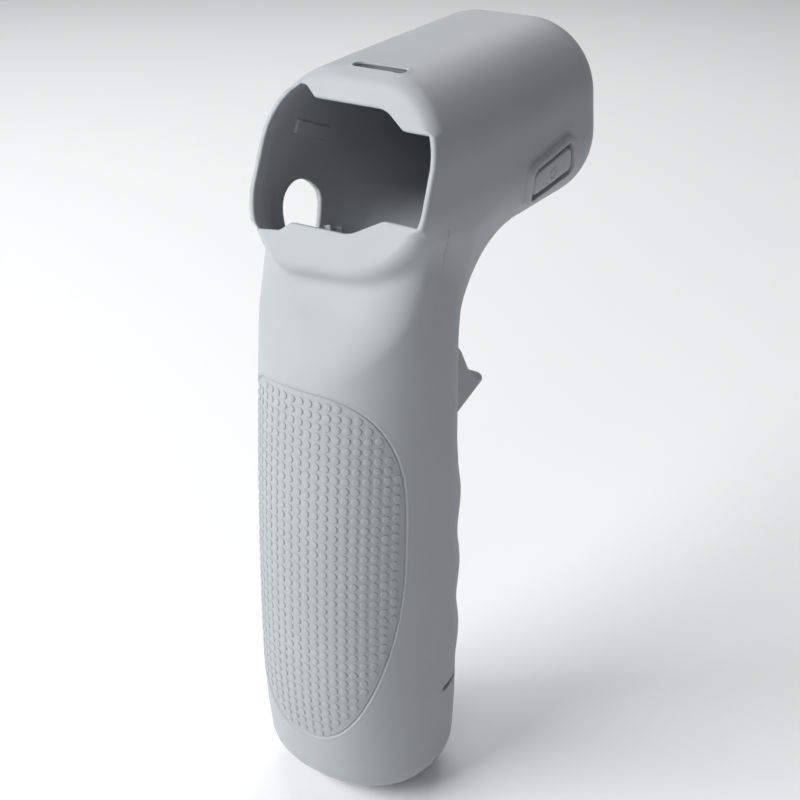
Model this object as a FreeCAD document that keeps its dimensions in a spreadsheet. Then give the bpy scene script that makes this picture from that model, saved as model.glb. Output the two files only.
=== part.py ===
"""Silicone sleeve for a pistol-grip motion controller, in millimetres.

The work frame has its origin at the centre of the face window: +X to the right, +Y forward along the
barrel, +Z up. Every sub-part is then placed so that the origin is the bottom centre of the whole sleeve.
"""
import FreeCAD, Part
import Sketcher
import math
import os

from FreeCAD import Placement, Rotation, Vector

DIMENSIONS = {
    # wall and frame of reference
    "wall": 1.45,
    "base_drop": 132.0,
    "centre_forward": 23.0,
    "centre_right": 0.86,
    # barrel, called the head
    "face_tilt": 20.0,
    "head_half_width": 21.9,
    "face_pinch": 1.6,
    "pinch_length": 9.0,
    "side_slant": 0.07,
    "roof_height": 16.4,
    "roof_rise": 4.66,
    "floor_depth": 19.4,
    "floor_rise": 4.37,
    "roof_corner": 14.0,
    "floor_corner": 15.0,
    "nose_forward": 61.9,
    "nose_rounding": 9.6,
    # handle
    "handle_centre": 5.0,
    "handle_power": 2.25,
    "handle_top": 8.0,
    "handle_widest": 19.6,
    "handle_widest_depth": 100.0,
    "handle_waist": 0.00016,
    "chin_step": 1.2,
    "swell_back": 16.2,
    "swell_depth": 98.0,
    "swell_curve": 0.00105,
    "heel_curve": 0.0042,
    "neck_start": 36.5,
    "neck_radius": 20.0,
    "finger_pitch": 15.8,
    "finger_first": 67.1,
    "finger_height": 0.85,
    "finger_front": 23.5,
    "trigger_front": 21.6,
    "base_top": 111.0,
    "base_rounding": 9.0,
    # face lips
    "lip_reach": 12.3,
    "lip_corner_reach": 9.1,
    "chin_reach": 10.9,
    "chin_corner_reach": 7.0,
    # ports
    "dial_width": 12.2,
    "dial_forward": 11.5,
    "dial_top": 7.4,
    "dial_bottom": 23.6,
    "light_length": 11.6,
    "light_width": 2.2,
    "light_rim": 1.1,
    "light_lift": 0.35,
    "light_forward": 10.2,
    "light_right": 1.6,
    "charge_length": 17.0,
    "charge_width": 9.0,
    "charge_forward": 5.5,
    "charge_lip": 1.0,
    "charge_lip_rise": 1.0,
    "strap_slit_width": 9.0,
    "strap_slit_gap": 1.0,
    "strap_slit_depth": 109.3,
    "strap_slit_right": 18.0,
    "strap_slit_forward": 8.0,
    "strap_slit_turn": 60.0,
    # power key
    "key_forward": 38.6,
    "key_drop": 5.0,
    "key_tilt": 12.0,
    "key_frame_length": 18.0,
    "key_frame_height": 9.6,
    "key_frame_corner": 3.0,
    "key_frame_lift": 1.0,
    "key_frame_band": 1.4,
    "key_pad_length": 13.4,
    "key_pad_height": 5.2,
    "key_pad_corner": 1.4,
    "key_pad_lift": 0.75,
    "key_clearance": 0.25,
    "key_web_thickness": 0.6,
    "key_plunger_radius": 1.6,
    "key_plunger_length": 1.1,
    "key_mark_radius": 1.15,
    "key_mark_line": 0.3,
    "key_mark_depth": 0.25,
    # trigger
    "trigger_half_width": 7.0,
    "trigger_clearance": 0.4,
    "trigger_rounding": 1.6,
    "trigger_hollow_rounding": 0.4,
    "trigger_top": 37.4,
    "trigger_brow_forward": 30.3,
    "trigger_brow_depth": 41.6,
    "trigger_saddle_forward": 34.6,
    "trigger_saddle_depth": 49.3,
    "trigger_tip_forward": 41.4,
    "trigger_tip_depth": 52.8,
    "trigger_bottom": 65.2,
    "trigger_root_overlap": 2.0,
    "trigger_port_top": 37.0,
    "trigger_port_bottom": 63.0,
    "trigger_port_start": 14.0,
    # grip panel
    "panel_top": 38.4,
    "panel_bottom": 115.0,
    "panel_widest": 70.0,
    "panel_top_power": 3.5,
    "panel_heel_power": 2.5,
    "panel_half_width": 18.0,
    "panel_sink": 0.35,
    # locating features inside the left wall
    "pad_length": 11.5,
    "pad_height": 2.9,
    "pad_lift": 0.5,
    "pad_tilt": 18.0,
    "pad_forward": 17.9,
    "pad_up": 1.3,
    "rib_first_forward": 17.6,
    "rib_spacing": 2.8,
    "rib_thickness": 0.7,
    "rib_depth": 3.0,
    "rib_reach": 15.7,
    "rib_step_in": 0.9,
    "rib_lean": -10.0,
    "rib_height": 6.0,
    "rib_top": 17.4,
}

FAR = 200.0
THROUGH = 12.0
HEAD_START = -14.0
HEAD_SPANS = 6


def make_sheet(document):
    """Put every driving dimension in a spreadsheet cell with its name as alias."""
    sheet = document.addObject("Spreadsheet::Sheet", "dimensions")
    for row, (name, value) in enumerate(DIMENSIONS.items(), start=1):
        sheet.set("A%d" % row, name)
        sheet.set("B%d" % row, str(value))
        sheet.setAlias("B%d" % row, name)
    document.recompute()
    return sheet


doc = FreeCAD.newDocument("controller_sleeve")
sheet = make_sheet(doc)


def size(name):
    """Value of one driving dimension."""
    return float(sheet.get(name))


def slope(name):
    """Rise per millimetre of an angle held in the sheet."""
    return math.tan(math.radians(size(name)))


# ---------------------------------------------------------------- construction helpers


def feature(name, shape):
    """Keep a shape made with Part's own functions as an object of the document."""
    item = doc.addObject("Part::Feature", name)
    item.Shape = shape
    return item


def cut(name, base, *tools):
    """Subtract each tool from the base in turn."""
    result = base
    for index, tool in enumerate(tools):
        step = doc.addObject("Part::Cut", name if index == len(tools) - 1 else "%s_cut_%d" % (name, index))
        step.Base = result
        step.Tool = tool
        step.Refine = False
        result = step
    return result


def common(name, base, tool):
    """Keep what two objects share."""
    item = doc.addObject("Part::Common", name)
    item.Base = base
    item.Tool = tool
    item.Refine = False
    return item


def rounded_outline(corners, radii):
    """Closed wire through the corners, each rounded by an arc of its own radius; zero keeps it sharp."""
    count = len(corners)
    entries = []
    exits = []
    middles = []
    for index in range(count):
        corner = corners[index]
        before = (corners[index - 1] - corner).normalize()
        after = (corners[(index + 1) % count] - corner).normalize()
        half = 0.5 * before.getAngle(after)
        reach = radii[index] / math.tan(half)
        centre = corner + (before + after).normalize() * (radii[index] / math.sin(half))
        entries.append(corner + before * reach)
        exits.append(corner + after * reach)
        sharp = radii[index] == 0
        middles.append(corner if sharp else centre + (corner - centre).normalize() * radii[index])
    edges = []
    for index in range(count):
        if radii[index] > 0:
            edges.append(Part.Arc(entries[index], middles[index], exits[index]).toShape())
        follower = (index + 1) % count
        if exits[index].distanceToPoint(entries[follower]) > 1e-6:
            edges.append(Part.LineSegment(exits[index], entries[follower]).toShape())
    return Part.Wire(edges)


def stadium_prism(name, length, width, depth):
    """Slot-shaped bar along local Z, centred on the origin, its length along local X."""
    length = "(%s)" % length
    width = "(%s)" % width
    bar = doc.addObject("Part::Box", name + "_bar")
    bar.setExpression("Length", "%s - %s" % (length, width))
    bar.setExpression("Width", width)
    bar.Height = depth
    bar.setExpression("Placement.Base.x", "-(%s - %s) / 2" % (length, width))
    bar.setExpression("Placement.Base.y", "-%s / 2" % width)
    bar.Placement.Base.z = -depth / 2
    ends = [bar]
    for side, sign in (("left", "-"), ("right", "")):
        end = doc.addObject("Part::Cylinder", "%s_%s_end" % (name, side))
        end.setExpression("Radius", "%s / 2" % width)
        end.Height = depth
        end.setExpression("Placement.Base.x", "%s(%s - %s) / 2" % (sign, length, width))
        end.Placement.Base.z = -depth / 2
        ends.append(end)
    prism = doc.addObject("Part::MultiFuse", name)
    prism.Shapes = ends
    prism.Refine = True
    return prism


# ---------------------------------------------------------------- head: the barrel


def roof_at(forward):
    return size("roof_height") + slope("roof_rise") * forward


def floor_at(forward):
    return -size("floor_depth") + slope("floor_rise") * forward


def side_at(forward, up):
    """Half width of the barrel's outer wall."""
    pinch = size("face_pinch") * math.exp(-max(forward, 0.0) / size("pinch_length"))
    return size("head_half_width") - pinch - size("side_slant") * up


def head_section(forward, inset):
    """Barrel section at one station: a slightly tapered rectangle with large corner radii."""
    roof = roof_at(forward) - inset
    floor = floor_at(forward) + inset
    top_half = side_at(forward, roof) - inset
    bottom_half = side_at(forward, floor) - inset
    corners = [
        Vector(-bottom_half, forward, floor),
        Vector(bottom_half, forward, floor),
        Vector(top_half, forward, roof),
        Vector(-top_half, forward, roof),
    ]
    low = size("floor_corner") - inset
    high = size("roof_corner") - inset
    return rounded_outline(corners, [low, low, high, high])


def head_solid(inset):
    """Barrel between a station behind the face and the rounded nose, inset from its outer surface."""
    start = HEAD_START
    nose = size("nose_forward") - inset
    stations = [start + (nose - start) * step / HEAD_SPANS for step in range(HEAD_SPANS + 1)]
    sections = [head_section(forward, inset) for forward in stations]
    solid = Part.makeLoft(sections, True, False)
    front_edges = []
    for edge in solid.Edges:
        if edge.BoundBox.YMin > nose - 1e-3:
            front_edges.append(edge)
    return solid.makeFillet(size("nose_rounding") - inset, front_edges)


def face_frame(forward_offset):
    """Placement of the face plane: local X to the right, local Y up the face, local Z towards the user."""
    tilt = Rotation(Vector(1, 0, 0), 90 - size("face_tilt"))
    normal = tilt.multVec(Vector(0, 0, 1))
    return Placement(normal * -forward_offset, tilt)


def behind_face(name, forward_offset):
    """Everything on the user's side of the face plane."""
    block = doc.addObject("Part::Box", name)
    block.Length = FAR
    block.Width = FAR
    block.Height = FAR
    block.Placement = face_frame(forward_offset).multiply(Placement(Vector(-FAR / 2, -FAR / 2, 0), Rotation()))
    return block


# ---------------------------------------------------------------- handle


def handle_front(down):
    """Front of the handle at a depth below the face centre: trigger flat, finger bumps, neck flare."""
    neck_start = size("neck_start")
    radius = size("neck_radius")
    if down < neck_start:
        rise = min(neck_start - down, 0.98 * radius)
        return size("trigger_front") + radius - math.sqrt(radius ** 2 - rise ** 2)
    first = size("finger_first")
    pitch = size("finger_pitch")
    last = first + 2 * pitch
    if first - pitch / 2 <= down <= last + pitch / 2:
        wave = math.cos(2 * math.pi * (down - first) / pitch)
        return size("finger_front") + size("finger_height") * wave
    if down < first:
        return size("trigger_front")
    return size("finger_front") - size("finger_height")


def handle_back(down):
    """Palm side of the handle: steps in under the chin, then swells towards the heel of the hand."""
    deepest = size("swell_depth")
    curve = size("swell_curve") if down < deepest else size("heel_curve")
    swell = -size("swell_back") + curve * (down - deepest) ** 2
    under_chin = size("chin_step") / math.cos(math.radians(size("face_tilt"))) - slope("face_tilt") * down
    return max(swell, under_chin)


def handle_half_width(down):
    """Half width of the handle, widest near the heel of the hand."""
    return size("handle_widest") - size("handle_waist") * (down - size("handle_widest_depth")) ** 2


def handle_section(down, inset):
    """Superellipse section of the handle, its front and back halves of different depth."""
    half = handle_half_width(down) - inset
    front = handle_front(down) - size("handle_centre") - inset
    back = size("handle_centre") - handle_back(down) - inset
    return superellipse(Vector(0, size("handle_centre"), -down), half, front, back, size("handle_power"))


def superellipse(centre, half, front, back, power):
    """Closed smooth wire in the XY plane: |x / half|^power + |y / depth|^power = 1."""
    count = 24
    points = []
    for index in range(count):
        angle = 2 * math.pi * index / count
        across = math.copysign(abs(math.cos(angle)) ** (2 / power), math.cos(angle))
        along = math.copysign(abs(math.sin(angle)) ** (2 / power), math.sin(angle))
        depth = front if along > 0 else back
        points.append(centre + Vector(half * across, depth * along, 0))
    curve = Part.BSplineCurve()
    even = [index / count for index in range(count + 1)]
    curve.interpolate(Points=points, PeriodicFlag=True, Parameters=even)
    return Part.Wire([curve.toShape()])


def handle_solid(inset):
    """Handle lofted from inside the head down to its base, which rounds over on a quarter circle."""
    base = size("base_drop")
    rounding = size("base_rounding")
    first = size("finger_first")
    quarter = size("finger_pitch") / 4
    top = size("handle_top") - inset
    stations = [top, 13.0, 17.5, 21.0, 25.0, 30.0, size("neck_start"), 43.0, 51.0, 57.5]
    stations += [first + quarter * step for step in range(-1, 11)]
    stations.append(112.0)
    sections = [handle_section(down, inset) for down in stations]
    for turn in (0.0, 25.0, 45.0, 65.0, 90.0):
        angle = math.radians(turn)
        down = base - rounding + (rounding - inset) * math.sin(angle)
        shrink = rounding - (rounding - inset) * math.cos(angle)
        sections.append(handle_section(down, shrink))
    return Part.makeLoft(sections, True, False)


# ---------------------------------------------------------------- ports and lips


def window_cutter():
    """Prism of the face window, asymmetric: open to both left corners, lipped over both right corners."""
    reach = size("lip_reach")
    corner_reach = size("lip_corner_reach")
    chin = size("chin_reach")
    chin_corner = size("chin_corner_reach")
    outside = 25.0
    corners = [
        Vector(-outside, -chin - 5, 0),
        Vector(-14.6, -chin - 2.4, 0),
        Vector(-11.6, -chin, 0),
        Vector(3.4, -chin, 0),
        Vector(10.6, -chin_corner, 0),
        Vector(outside, -chin_corner, 0),
        Vector(outside, corner_reach, 0),
        Vector(11.6, corner_reach, 0),
        Vector(7.0, reach, 0),
        Vector(-9.0, reach, 0),
        Vector(-11.4, reach + 2.0, 0),
        Vector(-outside, reach + 3.0, 0),
    ]
    radii = [0, 2.0, 1.2, 5.0, 1.6, 0, 0, 1.4, 4.5, 1.0, 1.6, 0]
    outline = rounded_outline(corners, radii)
    prism = Part.Face(outline).extrude(Vector(0, 0, 2 * THROUGH))
    cutter = feature("window_cutter", prism)
    cutter.Placement = face_frame(THROUGH)
    return cutter


def dial_cutter():
    """Upright slot through the left wall, where a thumb reaches the dial."""
    slot = stadium_prism("dial_cutter", "dimensions.dial_bottom - dimensions.dial_top",
                         "dimensions.dial_width", THROUGH)
    middle = -(size("dial_bottom") + size("dial_top")) / 2
    upright = Rotation(Vector(0, 1, 0), 90)
    slot.Placement = Placement(Vector(-size("head_half_width"), size("dial_forward"), middle), upright)
    return slot


def roof_frame():
    """Placement on the roof at the status light: local Z is the roof's outward normal."""
    forward = size("light_forward")
    return Placement(Vector(size("light_right"), forward, roof_at(forward)),
                     Rotation(Vector(1, 0, 0), size("roof_rise")))


def key_frame_placement():
    """Placement on the right wall at the power key: local Z outward, local X along the key."""
    forward = size("key_forward")
    up = -size("key_drop")
    outward = Rotation(Vector(0, 1, 0), 90 - math.degrees(math.atan(size("side_slant"))))
    spin = Rotation(Vector(0, 0, 1), 90 + size("key_tilt"))
    return Placement(Vector(side_at(forward, up), forward, up), outward.multiply(spin))


def rounded_plate(name, length, height, corner, bottom, thickness, place):
    """PartDesign plate with rounded corners, centred on local Z; its sizes are sheet expressions."""
    body = doc.addObject("PartDesign::Body", name)
    sketch = body.newObject("Sketcher::SketchObject", name + "_sketch")
    plane = [item for item in body.Origin.OriginFeatures if item.Role == "XY_Plane"][0]
    sketch.AttachmentSupport = [(plane, "")]
    sketch.MapMode = "FlatFace"
    sketch.setExpression("AttachmentOffset.Base.z", bottom)
    draw_rectangle(sketch, length, height)
    pad = body.newObject("PartDesign::Pad", name + "_pad")
    pad.Profile = sketch
    pad.setExpression("Length", thickness)
    doc.recompute()
    fillet = body.newObject("PartDesign::Fillet", name + "_corners")
    fillet.Base = (pad, upright_edges(pad.Shape))
    fillet.setExpression("Radius", corner)
    body.Tip = fillet
    body.Placement = place
    return body


def draw_rectangle(sketch, length, height):
    """Rectangle centred on the sketch origin, its two sizes driven by the sheet."""
    corners = [Vector(-5, -3, 0), Vector(5, -3, 0), Vector(5, 3, 0), Vector(-5, 3, 0)]
    for index in range(4):
        sketch.addGeometry(Part.LineSegment(corners[index], corners[(index + 1) % 4]), False)
    for index in range(4):
        sketch.addConstraint(Sketcher.Constraint("Coincident", index, 2, (index + 1) % 4, 1))
    for index, direction in ((0, "Horizontal"), (2, "Horizontal"), (1, "Vertical"), (3, "Vertical")):
        sketch.addConstraint(Sketcher.Constraint(direction, index))
    sketch.addConstraint(Sketcher.Constraint("Symmetric", 0, 1, 1, 2, -1, 1))
    across = sketch.addConstraint(Sketcher.Constraint("DistanceX", 0, 1, 0, 2, 10.0))
    upward = sketch.addConstraint(Sketcher.Constraint("DistanceY", 1, 1, 1, 2, 6.0))
    sketch.setExpression("Constraints[%d]" % across, length)
    sketch.setExpression("Constraints[%d]" % upward, height)


def upright_edges(shape):
    """Names of the straight edges that run along local Z."""
    names = []
    for index, edge in enumerate(shape.Edges, start=1):
        along = edge.tangentAt(edge.FirstParameter)
        if abs(along.z) > 0.99:
            names.append("Edge%d" % index)
    return names


def slab(name, length, width, height, place):
    """Box centred on its placement."""
    block = doc.addObject("Part::Box", name)
    block.Length = length
    block.Width = width
    block.Height = height
    centred = Placement(Vector(-length / 2, -width / 2, -height / 2), Rotation())
    block.Placement = place.multiply(centred)
    return block


# ---------------------------------------------------------------- trigger


def trigger_outline(inset):
    """Side profile of the trigger: root on the handle, concave finger rest, blunt tip."""
    root = size("trigger_front") - 4 * size("trigger_root_overlap")
    corners = [
        Vector(0, root, -size("trigger_top")),
        Vector(0, size("trigger_brow_forward"), -size("trigger_brow_depth")),
        Vector(0, size("trigger_saddle_forward"), -size("trigger_saddle_depth")),
        Vector(0, size("trigger_tip_forward"), -size("trigger_tip_depth")),
        Vector(0, root, -size("trigger_bottom")),
    ]
    wire = rounded_outline(corners, [0, 5.0, 3.0, 1.8, 0])
    if inset > 0:
        wire = wire.makeOffset2D(-inset)
    return wire


def trigger_solid(inset):
    """Trigger profile widened to both sides, with its side edges rounded."""
    half = size("trigger_half_width") - inset
    face = Part.Face(trigger_outline(inset))
    face.translate(Vector(-half, 0, 0))
    solid = face.extrude(Vector(2 * half, 0, 0))
    side_edges = []
    for edge in solid.Edges:
        box = edge.BoundBox
        flat = box.XLength < 1e-6 and box.YMax > size("trigger_front")
        if flat:
            side_edges.append(edge)
    rounding = size("trigger_rounding") if inset == 0 else size("trigger_hollow_rounding")
    return solid.makeFillet(rounding, side_edges)


# ---------------------------------------------------------------- grip panel


def half_superellipse(half, depth, power, start):
    """Half turn of a superellipse from the start angle, without its last point."""
    count = 10
    points = []
    for index in range(count):
        angle = start + math.pi * index / count
        across = math.copysign(abs(math.cos(angle)) ** (2 / power), math.cos(angle))
        along = math.copysign(abs(math.sin(angle)) ** (2 / power), math.sin(angle))
        points.append(Vector(half * across, depth * along, 0))
    return points


def panel_cutter():
    """Prism of the palm panel's outline as the user sees it: a squarer top and a narrower heel."""
    half = size("panel_half_width")
    widest = size("panel_widest")
    crown = half_superellipse(half, widest - size("panel_top"), size("panel_top_power"), 0)
    heel = half_superellipse(half, size("panel_bottom") - widest, size("panel_heel_power"), math.pi)
    curve = Part.BSplineCurve()
    curve.interpolate(Points=crown + heel, PeriodicFlag=True)
    prism = Part.Face(Part.Wire([curve.toShape()])).extrude(Vector(0, 0, FAR / 4 + 1.0))
    cutter = feature("panel_cutter", prism)
    upright = Rotation(Vector(1, 0, 0), 90)
    cutter.Placement = Placement(Vector(0, 1.0, -widest), upright)
    return cutter


# ---------------------------------------------------------------- the sleeve's surfaces

wall = size("wall")
head_outer = feature("head_outer", head_solid(0.0))
head_inner = feature("head_inner", head_solid(wall))
head_block = cut("head_block", head_outer, behind_face("behind_face", 0.0))

grip_outer = feature("grip_outer", handle_solid(0.0))
grip_inner = feature("grip_inner", handle_solid(wall))
grip_wall = cut("grip_wall", grip_outer, grip_inner, head_block)

window = window_cutter()
dial = dial_cutter()
light_slot = stadium_prism("light_slot", "dimensions.light_length", "dimensions.light_width", THROUGH)
light_slot.Placement = roof_frame()
light_seat = stadium_prism("light_seat", "dimensions.light_length + 2 * dimensions.light_rim",
                           "dimensions.light_width + 2 * dimensions.light_rim", THROUGH)
light_seat.Placement = roof_frame()
key_place = key_frame_placement()
key_seat = rounded_plate("key_seat", "dimensions.key_frame_length", "dimensions.key_frame_height",
                         "dimensions.key_frame_corner", "-3 mm", "6 mm", key_place)
trigger_port = doc.addObject("Part::Box", "trigger_port")
trigger_port.setExpression("Length", "2 * (dimensions.trigger_half_width + dimensions.trigger_clearance)")
trigger_port.Width = 2 * THROUGH
trigger_port.setExpression("Height", "dimensions.trigger_port_bottom - dimensions.trigger_port_top")
trigger_port.setExpression("Placement.Base.x", "-dimensions.trigger_half_width - dimensions.trigger_clearance")
trigger_port.setExpression("Placement.Base.y", "dimensions.trigger_port_start")
trigger_port.setExpression("Placement.Base.z", "-dimensions.trigger_port_bottom")

# ---------------------------------------------------------------- sub-parts of the sleeve

head_sleeve = cut("head_sleeve", head_block, dial, light_seat, key_seat, head_inner, grip_inner)

face_slab = common("face_slab", head_inner, slab("face_layer", FAR, FAR, wall,
                   face_frame(0.0).multiply(Placement(Vector(0, 0, -wall / 2), Rotation()))))
face_lips = cut("face_lips", face_slab, window)
upper_half = slab("upper_half", FAR, FAR, FAR, face_frame(0.0).multiply(Placement(Vector(0, FAR / 2, 0), Rotation())))
face_lip_upper = common("face_lip_upper", face_lips, upper_half)
face_lip_lower = cut("face_lip_lower", face_lips, upper_half)

panel_prism = panel_cutter()
base_level = size("base_top")
below_base = slab("below_base", FAR, FAR, FAR, Placement(Vector(0, 0, -base_level - FAR / 2), Rotation()))
strap_slit_place = Placement(Vector(size("strap_slit_right"), size("strap_slit_forward"), -size("strap_slit_depth")),
                             Rotation(Vector(0, 0, 1), size("strap_slit_turn")))
strap_slit = slab("strap_slit", size("strap_slit_width"), THROUGH, size("strap_slit_gap"), strap_slit_place)
charge_port = stadium_prism("charge_port", "dimensions.charge_length", "dimensions.charge_width", THROUGH)
charge_port.Placement = Placement(Vector(0, size("charge_forward"), -size("base_drop")), Rotation())
charge_seat = stadium_prism("charge_seat", "dimensions.charge_length + 2 * dimensions.charge_lip",
                            "dimensions.charge_width + 2 * dimensions.charge_lip", THROUGH)
charge_seat.Placement = charge_port.Placement

handle_sleeve = cut("handle_sleeve", grip_wall, panel_prism, below_base, dial, trigger_port, strap_slit)
base_block = common("base_block", grip_wall, below_base)
base_cup = cut("base_cup", base_block, panel_prism, charge_seat)
panel_outer = cut("panel_outer", feature("panel_loft", handle_solid(size("panel_sink"))), grip_inner)
grip_panel = common("grip_panel", panel_outer, panel_prism)

charge_lip_height = wall + size("charge_lip_rise")
charge_lip_bar = slab("charge_lip_bar", FAR, FAR, charge_lip_height,
                      Placement(Vector(0, 0, -size("base_drop") + charge_lip_height / 2), Rotation()))
charge_port_lip = cut("charge_port_lip", common("charge_lip_disc", charge_lip_bar, charge_seat), charge_port)

light_layer = slab("light_layer", FAR, FAR, wall + size("light_lift"),
                   roof_frame().multiply(Placement(Vector(0, 0, (size("light_lift") - wall) / 2), Rotation())))
light_slot_rim = cut("light_slot_rim", common("light_disc", light_layer, light_seat), light_slot)

# ---------------------------------------------------------------- power key

key_back = "-dimensions.wall"
key_ring = rounded_plate("key_ring", "dimensions.key_frame_length", "dimensions.key_frame_height",
                         "dimensions.key_frame_corner", key_back,
                         "dimensions.wall + dimensions.key_frame_lift", key_place)
key_well = rounded_plate("key_well", "dimensions.key_frame_length - 2 * dimensions.key_frame_band",
                         "dimensions.key_frame_height - 2 * dimensions.key_frame_band",
                         "dimensions.key_frame_corner - dimensions.key_frame_band / 2", "-4 mm", "8 mm", key_place)
power_key_frame = cut("power_key_frame", key_ring, key_well)
key_web_disc = rounded_plate("key_web_disc", "dimensions.key_frame_length - 2 * dimensions.key_frame_band",
                             "dimensions.key_frame_height - 2 * dimensions.key_frame_band",
                             "dimensions.key_frame_corner - dimensions.key_frame_band / 2", key_back,
                             "dimensions.key_web_thickness", key_place)
key_shaft = rounded_plate("key_shaft", "dimensions.key_pad_length + 2 * dimensions.key_clearance",
                          "dimensions.key_pad_height + 2 * dimensions.key_clearance",
                          "dimensions.key_pad_corner + dimensions.key_clearance", "-4 mm", "8 mm", key_place)
power_key_web = cut("power_key_web", key_web_disc, key_shaft)
key_cap = rounded_plate("key_cap", "dimensions.key_pad_length", "dimensions.key_pad_height",
                        "dimensions.key_pad_corner", key_back,
                        "dimensions.wall + dimensions.key_pad_lift", key_place)


def key_mark():
    """Shallow groove of a generic power mark: an open ring and an upright bar, upright on the sleeve."""
    radius = size("key_mark_radius")
    line = size("key_mark_line")
    depth = size("key_mark_depth")
    ring = Part.makeCylinder(radius + line / 2, depth).cut(Part.makeCylinder(radius - line / 2, depth))
    gap = Part.makeBox(1.2, 2.0, depth, Vector(-0.6, 0.0, 0))
    bar = Part.makeBox(line, radius * 1.1, depth, Vector(-line / 2, radius * 0.25, 0))
    mark = feature("key_mark", ring.cut(gap).fuse(bar))
    lift = Placement(Vector(0, 0, size("key_pad_lift") - depth), Rotation())
    mark.Placement = key_place.multiply(lift)
    return mark


power_key = cut("power_key", key_cap, key_mark())
power_key_plunger = doc.addObject("Part::Cylinder", "power_key_plunger")
power_key_plunger.setExpression("Radius", "dimensions.key_plunger_radius")
power_key_plunger.setExpression("Height", "dimensions.key_plunger_length")
power_key_plunger.Placement = key_place.multiply(
    Placement(Vector(0, 0, -wall - size("key_plunger_length")), Rotation()))

# ---------------------------------------------------------------- trigger

trigger_shell = cut("trigger_shell", feature("trigger_outer", trigger_solid(0.0)),
                    feature("trigger_hollow", trigger_solid(wall)))
trigger_trim = size("trigger_front") - size("trigger_root_overlap")
trigger_root = slab("trigger_root", FAR, FAR, FAR, Placement(Vector(0, trigger_trim - FAR / 2, 0), Rotation()))
trigger_boot = cut("trigger_boot", trigger_shell, trigger_root)

# ---------------------------------------------------------------- locating features in the left wall


def left_wall_frame(forward, up, tilt):
    """Placement on the left wall's inner face: local Z into the cavity, local X forward."""
    inward = Rotation(Vector(0, 1, 0), 90 - math.degrees(math.atan(size("side_slant"))))
    spin = Rotation(Vector(0, 0, 1), 90 + tilt)
    return Placement(Vector(-side_at(forward, up) + wall, forward, up), inward.multiply(spin))


pad_block = slab("pad_block", size("pad_length"), size("pad_height"), 2 * size("pad_lift"),
                 left_wall_frame(size("pad_forward"), size("pad_up"), size("pad_tilt")))
locating_pad = common("locating_pad", pad_block, head_inner)


def locating_rib(name, index):
    """Short upright rib on the curve where the left wall turns into the handle; the wall curves in forward."""
    length = size("rib_height")
    forward = size("rib_first_forward") + index * size("rib_spacing")
    reach = size("rib_reach") - index * size("rib_step_in")
    lean = Rotation(Vector(0, 1, 0), size("rib_lean"))
    middle = Vector(-reach, forward, -size("rib_top") - length / 2)
    block = slab(name + "_block", size("rib_depth"), size("rib_thickness"), length, Placement(middle, lean))
    return common(name, block, cavity)


cavity = doc.addObject("Part::Fuse", "cavity")
cavity.Base = head_inner
cavity.Tool = grip_inner
locating_rib_rear = locating_rib("locating_rib_rear", 0)
locating_rib_front = locating_rib("locating_rib_front", 1)


# ---------------------------------------------------------------- names, checks and files

SUBPARTS = {
    "head_sleeve": head_sleeve,
    "face_lip_upper": face_lip_upper,
    "face_lip_lower": face_lip_lower,
    "handle_sleeve": handle_sleeve,
    "grip_panel": grip_panel,
    "base_cup": base_cup,
    "charge_port_lip": charge_port_lip,
    "light_slot_rim": light_slot_rim,
    "power_key_frame": power_key_frame,
    "power_key_web": power_key_web,
    "power_key": power_key,
    "power_key_plunger": power_key_plunger,
    "trigger_boot": trigger_boot,
    "locating_pad": locating_pad,
    "locating_rib_rear": locating_rib_rear,
    "locating_rib_front": locating_rib_front,
}


def place_in_row_frame():
    """Move every sub-part from the work frame to the bottom-centre frame and give it its name."""
    shift = Placement(Vector(-size("centre_right"), -size("centre_forward"), size("base_drop")), Rotation())
    for name, item in SUBPARTS.items():
        item.Placement = shift.multiply(item.Placement)
        item.Label = name
    doc.recompute()


def check_document():
    """Stop if any object failed, or any sub-part is empty or broken."""
    for item in doc.Objects:
        if "Invalid" in item.State or "Error" in item.State:
            raise RuntimeError("object failed: %s" % item.Name)
    for name, item in SUBPARTS.items():
        if item.Shape.isNull() or not item.Shape.isValid() or not item.Shape.Solids:
            raise RuntimeError("bad shape: %s" % name)


def write_files():
    """Write one STEP file for each sub-part."""
    os.makedirs("parts", exist_ok=True)
    for name, item in SUBPARTS.items():
        item.Shape.exportStep(os.path.join("parts", name + ".step"))
        box = item.Shape.optimalBoundingBox()
        print("%-20s solids %d  volume %8.1f  x %.1f..%.1f  y %.1f..%.1f  z %.1f..%.1f" % (
            name, len(item.Shape.Solids), item.Shape.Volume,
            box.XMin, box.XMax, box.YMin, box.YMax, box.ZMin, box.ZMax))


doc.recompute()
place_in_row_frame()
check_document()
write_files()
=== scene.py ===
"""Looks of a silicone sleeve for a pistol-grip motion controller, as one continuous moulded skin.

Shapes are worked out in millimetres in the work frame of the sleeve: its origin is the centre of the face
window, +X right, +Y forward along the barrel, +Z up. Meshes are moved to the row frame as they are made.
A field is a function of many points at once: below zero inside the silicone or the space it describes.
"""

import math

import bpy
import numpy as np
import openvdb
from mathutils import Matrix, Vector


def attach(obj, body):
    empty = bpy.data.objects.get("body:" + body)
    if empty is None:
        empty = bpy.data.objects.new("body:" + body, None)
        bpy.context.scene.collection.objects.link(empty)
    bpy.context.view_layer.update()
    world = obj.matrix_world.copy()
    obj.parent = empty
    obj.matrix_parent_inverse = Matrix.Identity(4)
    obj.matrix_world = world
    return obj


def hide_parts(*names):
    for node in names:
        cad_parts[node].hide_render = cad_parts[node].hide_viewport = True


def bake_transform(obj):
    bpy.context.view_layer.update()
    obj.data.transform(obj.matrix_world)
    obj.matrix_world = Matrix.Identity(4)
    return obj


ROW_SHIFT = np.array([-0.86, -23.0, 132.0])
MM = 0.001

WALL = 1.45

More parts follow.
